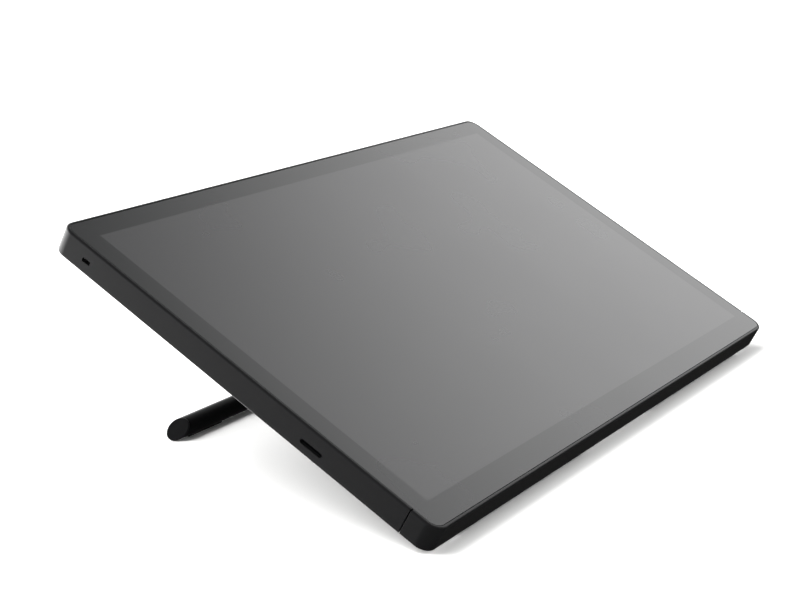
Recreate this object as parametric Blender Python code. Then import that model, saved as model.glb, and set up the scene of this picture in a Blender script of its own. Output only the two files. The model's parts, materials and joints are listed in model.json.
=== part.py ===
"""Pen display tablet: a flat screen slab with a front chin, standing on a hinged foot bar.

Sizes are metres. The slab is modelled lying flat (x along the long side, y from the front edge to
the back edge, z from the rear cover up to the glass) under an empty that leans it back. The stand
is modelled folded flat against the rear cover, under an empty on the hinge axis that swings it out.
"""

import math

import bmesh
import bpy
from mathutils import Matrix, Vector

# Screen and slab
ACTIVE_W = 0.52704
ACTIVE_D = ACTIVE_W * 9 / 16
SIDE_BORDER = 0.0196
FRONT_BORDER = 0.0221
BACK_BORDER = 0.0198
SLAB_T = 0.0200
CORNER_R = 0.0105
LEAN = math.radians(28.25)
EDGE_LIFT = 0.0006      # the slab's lower front edge above the table

# Casing
WALL = 0.00225
FLOOR = 0.0020
EDGE_FILLET = 0.0015
SEAM_Y = 0.0225         # the joint between the chin and the rear shell
GAP = 0.0003            # running and assembly gap between neighbouring pieces

# Glass and what it is bonded to
GLASS_INSET = 0.0026
GLASS_T = 0.0015
GLASS_DROP = 0.0001     # the glass lies this much below the rim

# Openings in the walls
LOCK_SLOT = (0.0070, 0.0030)
LOCK_SLOT_AT = (0.3086, 0.0093)
ACCESSORY_SLOT = (0.0187, 0.0035)
ACCESSORY_SLOT_AT = (0.1008, 0.0079)
USB_X = (0.130, 0.160)
USB_Z = 0.00605
BUTTON_X = -0.150
BUTTON_Z = 0.0052
BUTTON = (0.0136, 0.0034)
VENT_SLOT = (0.0020, 0.0220)
VENT_PITCH = 0.0060
VENT_COUNT = 24
VENT_FIRST_X = 0.100
VENT_Y = 0.3070

# Stand
BAR_R = 0.0074
BAR_BORE_R = 0.0054
BAR_HALF = 0.1890       # half the bar's length, measured on its axis
BAR_SLANT = 0.81        # how far an end leans inwards per unit of height, square to the screen
BAR_BEHIND = 0.2705     # the bar's axis behind the slab's lower front edge
BAR_HEIGHT = 0.0079
BAR_DROP = 0.00565      # the bar's axis below the hinge axis when folded
PLATE_W = 0.150
PLATE_LOW = -0.0030
PLATE_HIGH = 0.0020
HINGE_Y = 0.2960
HINGE_Z = 0.0033
HINGE_X = 0.055
KNUCKLE_R = 0.0030
PIN_R = 0.0016
PIN_HOLE_R = 0.00175
POCKET_DEPTH = 0.0065
POCKET_WALL = 0.0012
POCKET_CLEARANCE = 0.0015
PAD = (0.040, 0.006, 0.0010)
PAD_SEAT = 0.0008       # depth of the flat milled into the bar for a pad

# Layers of the slab: lowest and highest z of each
CHASSIS_Z = (0.0089, 0.0101)
CHASSIS_RIM_TOP = 0.0168
GASKET_Z = (0.0171, 0.0181)
LCD_Z = (0.0169, 0.0181)
DIFFUSER_Z = (0.0161, 0.0166)
LIGHT_GUIDE_Z = (0.0139, 0.0158)
REFLECTOR_Z = (0.0133, 0.0136)
TRAY_Z = (0.0123, 0.0164)
TRAY_SHEET = 0.0007
DIGITIZER_Z = (0.0112, 0.0120)
SHIELD_Z = (0.0104, 0.0109)
BOARD_Z = (0.0030, 0.0042)

CASE_SCREWS = [(side * 0.250, y) for side in (-1, 1) for y in (0.060, 0.190, 0.300)]
CHIN_SCREWS = [(side * 0.120, 0.0175) for side in (-1, 1)]
BOARD_SCREWS = [(0.100, 0.215), (0.228, 0.215), (0.100, 0.322), (0.228, 0.322)]

SLAB_W = ACTIVE_W + 2 * SIDE_BORDER
SLAB_D = ACTIVE_D + FRONT_BORDER + BACK_BORDER
ARC_STEPS = 6
ROUND_SIDES = 32


# Scene and materials

def clear_scene():
    for obj in list(bpy.data.objects):
        bpy.data.objects.remove(obj, do_unlink=True)


def material(name, colour, roughness, metallic=0.0):
    mat = bpy.data.materials.new(name)
    mat.use_nodes = True
    shader = mat.node_tree.nodes["Principled BSDF"]
    shader.inputs["Base Color"].default_value = (*colour, 1.0)
    shader.inputs["Roughness"].default_value = roughness
    shader.inputs["Metallic"].default_value = metallic
    return mat


def make_materials():
    return {
        "etched_glass": material("etched_glass", (0.035, 0.036, 0.038), 0.38),
        "black_abs": material("black_abs", (0.022, 0.022, 0.023), 0.55),
        "painted_aluminium": material("painted_aluminium", (0.016, 0.016, 0.017), 0.45, 0.2),
        "bare_aluminium": material("bare_aluminium", (0.55, 0.56, 0.57), 0.35, 1.0),
        "magnesium": material("magnesium", (0.32, 0.33, 0.34), 0.5, 1.0),
        "steel": material("steel", (0.45, 0.45, 0.46), 0.3, 1.0),
        "black_screw": material("black_screw", (0.03, 0.03, 0.03), 0.4, 1.0),
        "rubber": material("rubber", (0.012, 0.012, 0.012), 0.85),
        "foam": material("foam", (0.02, 0.02, 0.02), 0.95),
        "circuit_board": material("circuit_board", (0.01, 0.09, 0.04), 0.45),
        "clear_acrylic": material("clear_acrylic", (0.75, 0.8, 0.82), 0.1),
        "white_film": material("white_film", (0.85, 0.85, 0.85), 0.6),
        "acetal": material("acetal", (0.7, 0.7, 0.68), 0.4),
        "ribbon": material("ribbon", (0.75, 0.72, 0.6), 0.5),
    }


# Shapes

def add_empty(name, location, turn, parent):
    """An empty, turned about X, that carries other objects."""
    empty = bpy.data.objects.new(name, None)
    bpy.context.scene.collection.objects.link(empty)
    empty.parent = parent
    empty.location = location
    empty.rotation_euler = (turn, 0.0, 0.0)
    return empty


def add_object(name, bm, mat, parent):
    bmesh.ops.recalc_face_normals(bm, faces=bm.faces)
    mesh = bpy.data.meshes.new(name)
    bm.to_mesh(mesh)
    bm.free()
    mesh.shade_smooth()
    mesh.set_sharp_from_angle(angle=math.radians(35))
    if mat is not None:
        mesh.materials.append(mat)
    obj = bpy.data.objects.new(name, mesh)
    bpy.context.scene.collection.objects.link(obj)
    obj.parent = parent
    return obj


def rounded(corners, radius, steps=ARC_STEPS):
    """The outline through the given corners, each replaced by an arc of the given radius."""
    points = []
    for i, corner in enumerate(corners):
        here = Vector(corner)
        back = (Vector(corners[i - 1]) - here).normalized()
        ahead = (Vector(corners[(i + 1) % len(corners)]) - here).normalized()
        half = back.angle(ahead) / 2
        centre = here + (back + ahead).normalized() * radius / math.sin(half)
        start = here + back * radius / math.tan(half) - centre
        end = here + ahead * radius / math.tan(half) - centre
        sweep = start.angle_signed(end)
        for k in range(steps + 1):
            turned = start.copy()
            turned.rotate(Matrix.Rotation(-sweep * k / steps, 2))
            points.append(centre + turned)
    return points


def rectangle(x0, x1, y0, y1):
    return [(x0, y0), (x1, y0), (x1, y1), (x0, y1)]


def stadium(length, height, cx=0.0, cy=0.0):
    corners = rectangle(cx - length / 2, cx + length / 2, cy - height / 2, cy + height / 2)
    return rounded(corners, height * 0.4999)


def extrude(name, outline, low, high, mat=None, parent=None, along="Z"):
    """A prism on an outline. Along Z the outline is in x, y; along X in y, z; along Y in x, z."""
    place = {
        "Z": lambda p, w: (p[0], p[1], w),
        "X": lambda p, w: (w, p[0], p[1]),
        "Y": lambda p, w: (p[0], w, p[1]),
    }[along]
    bm = bmesh.new()
    face = bm.faces.new([bm.verts.new(place(p, low)) for p in outline])
    grown = bmesh.ops.extrude_face_region(bm, geom=[face])
    raised = [g for g in grown["geom"] if isinstance(g, bmesh.types.BMVert)]
    step = Vector(place((0.0, 0.0), high - low))
    bmesh.ops.translate(bm, verts=raised, vec=step)
    return add_object(name, bm, mat, parent)


def box(name, x, y, z, mat=None, parent=None):
    return extrude(name, rectangle(*x, *y), *z, mat, parent)


def turned(name, profile, centre, mat=None, parent=None, along="X", sides=ROUND_SIDES, lean=None):
    """A turned solid. The profile is (distance along the axis, radius).

    lean shears an end inwards or outwards with the height, measured square to the screen.
    """
    bm = bmesh.new()
    verts = [bm.verts.new((s, r, 0.0)) for s, r in profile]
    loop = list(zip(verts, verts[1:] + verts[:1]))
    edges = [bm.edges.new(pair) for pair in loop]
    bmesh.ops.spin(bm, geom=verts + edges, cent=(0, 0, 0), axis=(1, 0, 0), angle=math.tau,
                   steps=sides, use_merge=True, use_duplicate=False)
    bmesh.ops.remove_doubles(bm, verts=bm.verts, dist=1e-6)
    bmesh.ops.dissolve_degenerate(bm, edges=bm.edges, dist=1e-7)
    if lean is not None:
        for vert in bm.verts:
            vert.co.x += lean(vert.co.x) * (vert.co.z * math.cos(LEAN) - vert.co.y * math.sin(LEAN))
    turn = {"X": 0.0, "Z": -math.pi / 2}[along]
    bmesh.ops.rotate(bm, verts=bm.verts, cent=(0, 0, 0), matrix=Matrix.Rotation(turn, 3, "Y"))
    bmesh.ops.translate(bm, verts=bm.verts, vec=centre)
    return add_object(name, bm, mat, parent)


def rod(name, radius, low, high, centre, mat=None, parent=None, along="X", sides=ROUND_SIDES):
    return turned(name, [(low, 0), (low, radius), (high, radius), (high, 0)], centre, mat, parent,
                  along, sides)


def combine(target, others, operation):
    """Boolean with helper solids, which stay behind the modifier and aren't pieces themselves."""
    for other in others:
        step = target.modifiers.new(other.name, "BOOLEAN")
        step.operation = operation
        step.solver = "EXACT"
        step.object = other
        other.hide_render = True
        other.display_type = "WIRE"
    return target


def cut(target, *others):
    return combine(target, others, "DIFFERENCE")


def fuse(target, *others):
    return combine(target, others, "UNION")


def slab_outline(inset):
    corners = rectangle(-SLAB_W / 2 + inset, SLAB_W / 2 - inset, inset, SLAB_D - inset)
    return rounded(corners, max(CORNER_R - inset, 0.0010))


def around_screen(margin_x, margin_front, margin_back):
    """A rectangle around the active area."""
    return ((-ACTIVE_W / 2 - margin_x, ACTIVE_W / 2 + margin_x),
            (FRONT_BORDER - margin_front, SLAB_D - BACK_BORDER + margin_back))


# Casing

def pocket_outline(grow):
    """The T-shaped recess that the folded stand drops into."""
    half_bar = BAR_HALF + BAR_R * BAR_SLANT + POCKET_CLEARANCE + 0.002 + grow
    half_plate = PLATE_W / 2 + POCKET_CLEARANCE + grow
    bar_y = HINGE_Y - arm_length()
    low = bar_y - BAR_R - 2 * POCKET_CLEARANCE - grow
    shoulder = bar_y + BAR_R + POCKET_CLEARANCE + grow
    top = HINGE_Y + 0.020 + grow
    corners = [(-half_bar, low), (half_bar, low), (half_bar, shoulder), (half_plate, shoulder),
               (half_plate, top), (-half_plate, top), (-half_plate, shoulder), (-half_bar, shoulder)]
    return rounded(corners, 0.003, 4)


def vent_cutter(parent):
    """One body of helper slots, all of them cut by one Boolean."""
    bm = bmesh.new()
    for side in (-1, 1):
        for k in range(VENT_COUNT):
            at = Vector((side * (VENT_FIRST_X + k * VENT_PITCH), VENT_Y, FLOOR / 2))
            size = Matrix.Diagonal((VENT_SLOT[0], VENT_SLOT[1], 2 * FLOOR, 1.0))
            bmesh.ops.create_cube(bm, size=1.0, matrix=Matrix.Translation(at) @ size)
    return add_object("vent_cutter", bm, None, parent)


def wall_slot(name, side, size, at, parent):
    """A cutter for a round-ended slot through a side wall."""
    outer = side * (SLAB_W / 2 + 0.001)
    inner = side * (SLAB_W / 2 - WALL - 0.001)
    return extrude(name, stadium(*size, *at), min(outer, inner), max(outer, inner), None, parent, "X")


def screw_seat(name, x, y, parent):
    """A cutter for a counterbored screw hole through the rear cover."""
    profile = [(-0.001, 0), (-0.001, 0.0029), (0.0012, 0.0029), (0.0012, 0.0017),
               (FLOOR + 0.001, 0.0017), (FLOOR + 0.001, 0)]
    return turned(name, profile, (x, y, 0), None, parent, "Z", 20)


def casing(name, mat, parent, drop):
    """The tray that both shell pieces are cut from; drop is the y range that the piece lacks."""
    shell = extrude(name, slab_outline(0), 0, SLAB_T, mat, parent)
    fillet = shell.modifiers.new("edge_fillet", "BEVEL")
    fillet.width = EDGE_FILLET
    fillet.segments = 4
    fillet.limit_method = "ANGLE"
    fillet.angle_limit = math.radians(60)
    cavity = extrude(name + "_cavity", slab_outline(WALL), FLOOR, SLAB_T + 0.001, None, parent)
    spare = box(name + "_spare", (-SLAB_W, SLAB_W), drop, (-0.01, SLAB_T + 0.01), None, parent)
    return shell, cavity, spare


def make_rear_shell(mats, slab):
    shell, cavity, spare = casing("rear_shell", mats["black_abs"], slab, (-0.01, SEAM_Y + GAP / 2))
    pan = extrude("pocket_pan", pocket_outline(POCKET_WALL), -0.001, POCKET_DEPTH + POCKET_WALL,
                  None, slab)
    cut(cavity, pan)
    pocket = extrude("pocket", pocket_outline(0), -0.001, POCKET_DEPTH, None, slab)
    lock = extrude("lock_slot", rounded(rectangle(LOCK_SLOT_AT[0] - LOCK_SLOT[0] / 2,
                                                  LOCK_SLOT_AT[0] + LOCK_SLOT[0] / 2,
                                                  LOCK_SLOT_AT[1] - LOCK_SLOT[1] / 2,
                                                  LOCK_SLOT_AT[1] + LOCK_SLOT[1] / 2), 0.0003, 2),
                   -SLAB_W / 2 - 0.001, -SLAB_W / 2 + WALL + 0.001, None, slab, "X")
    back = (SLAB_D - WALL - 0.001, SLAB_D + 0.001)
    ports = [extrude(f"usb_hole_{i}", stadium(0.0098, 0.0038, x, USB_Z), *back, None, slab, "Y")
             for i, x in enumerate(USB_X)]
    button = extrude("button_hole", stadium(BUTTON[0] + 0.0006, BUTTON[1] + 0.0006, BUTTON_X, BUTTON_Z),
                     *back, None, slab, "Y")
    slots = [wall_slot(f"accessory_slot_{side}", side, ACCESSORY_SLOT, ACCESSORY_SLOT_AT, slab)
             for side in (-1, 1)]
    seats = [screw_seat(f"case_seat_{i}", *at, slab) for i, at in enumerate(CASE_SCREWS)]
    holes = [rod(f"hinge_hole_{i}", 0.0015, POCKET_DEPTH - 0.001, POCKET_DEPTH + POCKET_WALL + 0.001,
                 (*at, 0), None, slab, "Z", 16) for i, at in enumerate(hinge_screw_places())]
    cut(shell, cavity, spare, pocket, vent_cutter(slab), lock, *ports, button, *slots, *seats, *holes)


def make_front_chin(mats, slab):
    chin, cavity, spare = casing("front_chin", mats["black_abs"], slab, (SEAM_Y - GAP / 2, SLAB_D + 0.01))
    seats = [screw_seat(f"chin_seat_{i}", *at, slab) for i, at in enumerate(CHIN_SCREWS)]
    cut(chin, cavity, spare, *seats)


def make_front_feet(mats, root):
    """Rubber wedges under the chin; their undersides are level on the table."""
    near, far = 0.0030, 0.0110
    slope = math.tan(LEAN)
    under = EDGE_LIFT - GAP / math.cos(LEAN)
    section = [(near, 0.0), (far, 0.0), (far, under + far * slope), (near, under + near * slope)]
    for side, x in (("left", (-0.240, -0.060)), ("right", (0.060, 0.240))):
        extrude(f"front_foot_{side}", section, *x, mats["rubber"], root, "X")


# Screen

def make_screen(mats, slab):
    top = SLAB_T - GLASS_DROP
    extrude("front_glass", slab_outline(GLASS_INSET), top - GLASS_T, top, mats["etched_glass"], slab)
    gasket = extrude("glass_gasket", slab_outline(0.0040), *GASKET_Z, mats["foam"], slab)
    window = extrude("gasket_window", slab_outline(0.0110), 0.010, 0.020, None, slab)
    cut(gasket, window)
    box("lcd_cell", *around_screen(0.0035, 0.0035, 0.0035), LCD_Z, mats["etched_glass"], slab)
    box("diffuser_sheet", *around_screen(0.0032, 0.0032, 0.0032), DIFFUSER_Z, mats["white_film"], slab)
    box("light_guide", *around_screen(0.0030, 0.0030, 0.0030), LIGHT_GUIDE_Z, mats["clear_acrylic"], slab)
    box("reflector_sheet", *around_screen(0.0030, 0.0030, 0.0030), REFLECTOR_Z, mats["white_film"], slab)
    strip_y = (FRONT_BORDER - 0.0044, FRONT_BORDER - 0.0034)
    box("led_strip", (-0.258, 0.258), strip_y, LIGHT_GUIDE_Z, mats["white_film"], slab)
    tray = box("backlight_tray", *around_screen(0.0060, 0.0060, 0.0060), TRAY_Z, mats["steel"], slab)
    margin = 0.0060 - TRAY_SHEET
    hollow = box("tray_hollow", *around_screen(margin, margin, margin),
                 (TRAY_Z[0] + TRAY_SHEET, TRAY_Z[1] + 0.001), None, slab)
    cut(tray, hollow)
    box("digitizer_board", *around_screen(0.0045, 0.0045, 0.0045), DIGITIZER_Z, mats["circuit_board"], slab)
    box("shield_sheet", *around_screen(0.0045, 0.0045, 0.0045), SHIELD_Z, mats["bare_aluminium"], slab)


def make_chassis(mats, slab):
    """A cast frame: a plate with a raised rim for the glass and bosses for the screws."""
    chassis = extrude("chassis_frame", slab_outline(0.0070), CHASSIS_Z[0], CHASSIS_RIM_TOP,
                      mats["magnesium"], slab)
    dish = extrude("chassis_dish", slab_outline(0.0100), CHASSIS_Z[1], CHASSIS_RIM_TOP + 0.001, None, slab)
    seat = CHASSIS_Z[0] + 0.0005
    places = [(at, 0.0032, FLOOR + GAP) for at in CASE_SCREWS + CHIN_SCREWS]
    places += [(at, 0.0026, BOARD_Z[1] + GAP) for at in BOARD_SCREWS]
    bosses = [rod(f"boss_{i}", radius, low, seat, (*at, 0), None, slab, "Z", 20)
              for i, (at, radius, low) in enumerate(places)]
    threads = [rod(f"thread_{i}", 0.0014, 0.001, CHASSIS_Z[0] - 0.0004, (*at, 0), None, slab, "Z", 12)
               for i, (at, _, _) in enumerate(places)]
    cut(fuse(cut(chassis, dish), *bosses), *threads)


# Electronics

def make_electronics(mats, slab):
    board = box("main_board", (0.090, 0.238), (0.205, 0.330), BOARD_Z, mats["circuit_board"], slab)
    cut(board, *[rod(f"board_hole_{i}", 0.0015, 0.002, 0.006, (*at, 0), None, slab, "Z", 12)
                 for i, at in enumerate(BOARD_SCREWS)])
    can = box("processor_shield", (0.145, 0.185), (0.245, 0.285), (0.0045, 0.0070), mats["steel"], slab)
    cut(can, box("can_hollow", (0.1456, 0.1844), (0.2456, 0.2844), (0.004, 0.0064), None, slab))
    box("thermal_pad", (0.150, 0.180), (0.250, 0.280), (0.0072, 0.0087), mats["foam"], slab)
    for name, x in zip(("usb_socket_video", "usb_socket_power"), USB_X):
        make_usb_socket(name, x, mats, slab)
    box("panel_driver_board", (0.040, 0.241), (0.030, 0.052), (0.0030, 0.0040), mats["circuit_board"], slab)
    box("panel_flat_cable", (0.220, 0.238), (0.044, 0.209), (0.0045, 0.0048), mats["ribbon"], slab)


def make_usb_socket(name, x, mats, slab):
    """A USB-C receptacle: a round-ended can around a tongue, its mouth at the back wall."""
    mouth = SLAB_D - WALL - GAP
    socket = extrude(name, stadium(0.0090, 0.0031, x, USB_Z), mouth - 0.0073, mouth, mats["steel"], slab, "Y")
    hollow = extrude(name + "_hollow", stadium(0.0083, 0.0024, x, USB_Z), mouth - 0.0060, mouth + 0.001,
                     None, slab, "Y")
    tongue = extrude(name + "_tongue", stadium(0.0067, 0.0007, x, USB_Z), mouth - 0.008, mouth - 0.0008,
                     None, slab, "Y")
    cut(socket, cut(hollow, tongue))


def make_power_button(mats, slab):
    inside = SLAB_D - WALL - GAP
    pivot = add_empty("power_button_axis", (BUTTON_X, inside, BUTTON_Z), 0.0, slab)
    button = extrude("power_button", stadium(*BUTTON), -0.0009, 0.0034, mats["acetal"], pivot, "Y")
    fuse(button, extrude("button_flange", stadium(0.0166, 0.0046), -0.0009, 0.0, None, pivot, "Y"))
    edge = button.modifiers.new("soft_edge", "BEVEL")
    edge.width = 0.0003
    edge.segments = 2
    edge.limit_method = "ANGLE"
    edge.angle_limit = math.radians(60)
    switch = box("power_switch", (-0.0030, 0.0030), (-0.0062, -0.0036), (-0.0020, 0.0020), mats["acetal"], pivot)
    fuse(switch, box("switch_plunger", (-0.0010, 0.0010), (-0.0037, -0.0021), (-0.0010, 0.0010), None, pivot))
    box("switch_board", (-0.0140, 0.0140), (-0.0075, -0.0065), (-0.0026, 0.0024), mats["circuit_board"], pivot)


def make_wall_fittings(mats, slab):
    inner = SLAB_W / 2 - WALL - GAP
    y, z = LOCK_SLOT_AT
    plate = extrude("lock_plate", rectangle(y - 0.0105, y + 0.0105, z - 0.0055, z + 0.0055),
                    -inner, -inner + 0.0018, mats["steel"], slab, "X")
    half_y, half_z = LOCK_SLOT[0] / 2 + 0.0002, LOCK_SLOT[1] / 2 + 0.0002
    cut(plate, extrude("lock_plate_slot", rectangle(y - half_y, y + half_y, z - half_z, z + half_z),
                       -inner - 0.001, -inner + 0.003, None, slab, "X"))
    y, z = ACCESSORY_SLOT_AT
    length, height = ACCESSORY_SLOT
    for name, side in (("left", -1), ("right", 1)):
        near, far = side * inner, side * (inner - 0.0038)
        liner = extrude(f"accessory_socket_{name}",
                        rectangle(y - length / 2 - 0.0018, y + length / 2 + 0.0018,
                                  z - height / 2 - 0.0015, z + height / 2 + 0.0015),
                        min(near, far), max(near, far), mats["black_abs"], slab, "X")
        mouth, end = side * (inner + 0.001), side * (inner - 0.0030)
        cut(liner, extrude(f"accessory_mouth_{name}", stadium(length + 0.0002, height + 0.0002, y, z),
                           min(mouth, end), max(mouth, end), None, slab, "X"))


def make_screws(mats, slab):
    """Pan-head screws, heads down in the rear cover or under the board, shanks up."""
    sizes = {
        "case_screw": (CASE_SCREWS + CHIN_SCREWS, 0.0002, 0.0024, 0.0009, 0.0012, 0.0070),
        "board_screw": (BOARD_SCREWS, 0.0022, 0.0022, 0.0005, 0.0011, 0.0068),
        "hinge_screw": (hinge_screw_places(), 0.0032, 0.0022, 0.0010, 0.0010, 0.0075),
    }
    for name, (places, low, head_r, head_t, shank_r, top) in sizes.items():
        mat = mats["steel"] if name == "board_screw" else mats["black_screw"]
        profile = [(low, 0), (low, head_r), (low + head_t, head_r), (low + head_t, shank_r),
                   (top, shank_r), (top, 0)]
        for i, at in enumerate(places):
            turned(f"{name}_{i + 1}", profile, (*at, 0), mat, slab, "Z", 16)


# Stand

def hinge_screw_places():
    return [(side * HINGE_X + step, HINGE_Y + 0.0125) for side in (-1, 1) for step in (-0.008, 0.008)]


def hinge_point():
    """The hinge axis in the upright frame, measured from the slab's lower front edge."""
    return Vector((HINGE_Y * math.cos(LEAN) - HINGE_Z * math.sin(LEAN),
                   EDGE_LIFT + HINGE_Y * math.sin(LEAN) + HINGE_Z * math.cos(LEAN)))


def arm_length():
    reach = Vector((BAR_BEHIND, BAR_HEIGHT)) - hinge_point()
    return math.sqrt(reach.length_squared - BAR_DROP ** 2)


def stand_turn():
    """How far the opened stand is turned about X from lying level."""
    reach = Vector((BAR_BEHIND, BAR_HEIGHT)) - hinge_point()
    folded = math.atan2(-BAR_DROP, -arm_length())
    return (math.atan2(reach.y, reach.x) - folded) % math.tau


def make_hinges(mats, slab):
    for name, side in (("left", -1), ("right", 1)):
        x = side * HINGE_X
        axis = (x, HINGE_Y, HINGE_Z)
        leaf = rod(f"hinge_leaf_{name}", KNUCKLE_R, -0.0066, 0.0066, axis, mats["steel"], slab)
        web = box(f"leaf_web_{name}", (x - 0.0066, x + 0.0066), (HINGE_Y, HINGE_Y + 0.0070),
                  (HINGE_Z, 0.0062), None, slab)
        base = box(f"leaf_base_{name}", (x - 0.013, x + 0.013), (HINGE_Y + 0.0045, HINGE_Y + 0.0185),
                   (0.0046, 0.0062), None, slab)
        bore = rod(f"leaf_bore_{name}", PIN_HOLE_R, -0.02, 0.02, axis, None, slab, "X", 24)
        holes = [rod(f"leaf_hole_{name}_{i}", 0.0013, 0.003, 0.008, (*at, 0), None, slab, "Z", 12)
                 for i, at in enumerate(hinge_screw_places()) if at[0] * side > 0]
        cut(fuse(leaf, web, base), bore, *holes)
        rod(f"hinge_pin_{name}", PIN_R, -0.0175, 0.0175, axis, mats["steel"], slab, "X", 24)
        for end, label in ((-1, "outer" if side < 0 else "inner"), (1, "inner" if side < 0 else "outer")):
            low, high = sorted((end * 0.0069, end * 0.0076))
            ring = [(low, PIN_HOLE_R), (low, 0.0028), (high, 0.0028), (high, PIN_HOLE_R)]
            turned(f"friction_washer_{name}_{label}", ring, axis, mats["acetal"], slab, "X", 24)


def make_stand(mats, root):
    at = hinge_point()
    hinge = add_empty("stand_hinge_axis", (0.0, at.x, at.y), stand_turn(), root)
    length = arm_length()
    saddle_end = -length + 0.0050
    plate = box("stand_plate", (-PLATE_W / 2, PLATE_W / 2), (saddle_end, -0.0016),
                (PLATE_LOW, PLATE_HIGH), mats["painted_aluminium"], hinge)
    knuckles = [rod(f"stand_knuckle_{x:+.4f}", KNUCKLE_R, -0.0050, 0.0050, (x, 0, 0), None, hinge)
                for x in (side * HINGE_X + step for side in (-1, 1) for step in (-0.0129, 0.0129))]
    notches = [box(f"leaf_notch_{side}", (side * HINGE_X - 0.0079, side * HINGE_X + 0.0079),
                   (-0.0038, 0.005), (-0.005, 0.005), None, hinge) for side in (-1, 1)]
    bore = rod("stand_bore", PIN_HOLE_R, -0.080, 0.080, (0, 0, 0), None, hinge, "X", 24)
    saddle = rod("bar_saddle", BAR_R + GAP, -0.080, 0.080, (0, -length, -BAR_DROP), None, hinge)
    cut(fuse(cut(plate, *notches), *knuckles), bore, saddle)
    make_foot_bar(mats, hinge, length)


def make_foot_bar(mats, hinge, length):
    """The bar lies under the plate's free edge; its frame is level while the stand is open."""
    level = add_empty("foot_bar_axis", (0.0, -length, -BAR_DROP), -stand_turn(), hinge)
    ends = {"left": -1, "right": 1}
    half = BAR_HALF - 0.0022
    tube = [(-half, BAR_BORE_R), (-half, BAR_R), (half, BAR_R), (half, BAR_BORE_R)]
    bar = turned("foot_bar", tube, (0, 0, 0), mats["painted_aluminium"], level,
                 lean=lambda s: math.copysign(BAR_SLANT, -s))
    seat_top = -BAR_R + PAD_SEAT
    for name, side in ends.items():
        middle = side * (BAR_HALF - 0.0300)
        seat = (middle - PAD[0] / 2 - GAP, middle + PAD[0] / 2 + GAP)
        cut(bar, box(f"pad_seat_{name}", seat, (-0.006, 0.006), (-0.010, seat_top), None, level))
        box(f"foot_pad_{name}", (middle - PAD[0] / 2, middle + PAD[0] / 2), (-PAD[1] / 2, PAD[1] / 2),
            (-BAR_HEIGHT, -BAR_HEIGHT + PAD[2]), mats["rubber"], level)
        plug, face, lid = half - 0.022, half + GAP * 1.5, BAR_HALF
        cap = [(side * plug, 0), (side * plug, BAR_BORE_R - GAP), (side * face, BAR_BORE_R - GAP),
               (side * face, BAR_R), (side * lid, BAR_R), (side * lid, 0)]
        turned(f"bar_end_cap_{name}", cap, (0, 0, 0), mats["black_abs"], level,
               lean=lambda s, p=plug: 0.0 if abs(s) < p + 0.001 else math.copysign(BAR_SLANT, -s))


def centre_on_footprint(root):
    """Moves the whole assembly so that its origin is under the middle of its box."""
    view = bpy.context.evaluated_depsgraph_get()
    corners = []
    for obj in bpy.data.objects:
        if obj.type == "MESH" and not obj.hide_render:
            shown = obj.evaluated_get(view)
            corners += [shown.matrix_world @ v.co for v in shown.data.vertices]
    middle = (min(c.y for c in corners) + max(c.y for c in corners)) / 2
    floor = min(c.z for c in corners)
    root.location = (0.0, -middle, -floor)


def main():
    clear_scene()
    mats = make_materials()
    root = add_empty("tablet_frame", (0.0, 0.0, 0.0), 0.0, None)
    slab = add_empty("slab_frame", (0.0, 0.0, EDGE_LIFT), LEAN, root)
    make_rear_shell(mats, slab)
    make_front_chin(mats, slab)
    make_front_feet(mats, root)
    make_screen(mats, slab)
    make_chassis(mats, slab)
    make_electronics(mats, slab)
    make_power_button(mats, slab)
    make_wall_fittings(mats, slab)
    make_hinges(mats, slab)
    make_screws(mats, slab)
    make_stand(mats, root)
    centre_on_footprint(root)


main()
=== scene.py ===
import json
import math

import bmesh
import bpy
from mathutils import Matrix, Vector


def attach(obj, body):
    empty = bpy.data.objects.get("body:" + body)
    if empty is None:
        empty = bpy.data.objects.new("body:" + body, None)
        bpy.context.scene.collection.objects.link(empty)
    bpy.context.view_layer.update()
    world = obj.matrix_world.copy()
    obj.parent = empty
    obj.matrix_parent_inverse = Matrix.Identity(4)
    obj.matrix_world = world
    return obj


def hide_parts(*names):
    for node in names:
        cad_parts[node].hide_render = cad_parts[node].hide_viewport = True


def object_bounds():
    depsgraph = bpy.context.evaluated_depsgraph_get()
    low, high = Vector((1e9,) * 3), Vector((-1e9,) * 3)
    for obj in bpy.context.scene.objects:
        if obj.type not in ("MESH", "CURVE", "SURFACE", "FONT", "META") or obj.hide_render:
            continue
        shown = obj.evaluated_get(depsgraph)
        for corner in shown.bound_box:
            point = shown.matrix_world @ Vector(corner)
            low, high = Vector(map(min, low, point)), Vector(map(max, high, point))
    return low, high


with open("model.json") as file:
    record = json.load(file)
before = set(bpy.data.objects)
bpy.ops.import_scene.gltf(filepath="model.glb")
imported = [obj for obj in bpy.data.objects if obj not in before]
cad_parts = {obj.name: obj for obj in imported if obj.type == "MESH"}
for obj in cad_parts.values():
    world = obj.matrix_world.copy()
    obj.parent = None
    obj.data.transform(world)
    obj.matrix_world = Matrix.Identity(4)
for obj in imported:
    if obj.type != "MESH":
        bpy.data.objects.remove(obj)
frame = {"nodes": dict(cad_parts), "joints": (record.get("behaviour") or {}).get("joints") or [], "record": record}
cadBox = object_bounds()
print("frame loaded:", len(frame["nodes"]), "nodes")


# Where things are: the leaning slab, the opened stand and the level bar

def boxIn(axes, *nodes):
    # lowest and highest corner of some nodes, measured along the given axes
    back = axes.inverted()
    points = [back @ v.co for node in nodes for v in frame["nodes"][node].data.vertices]
    low = Vector([min(p[i] for p in points) for i in range(3)])
    high = Vector([max(p[i] for p in points) for i in range(3)])
    return low, high


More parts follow.
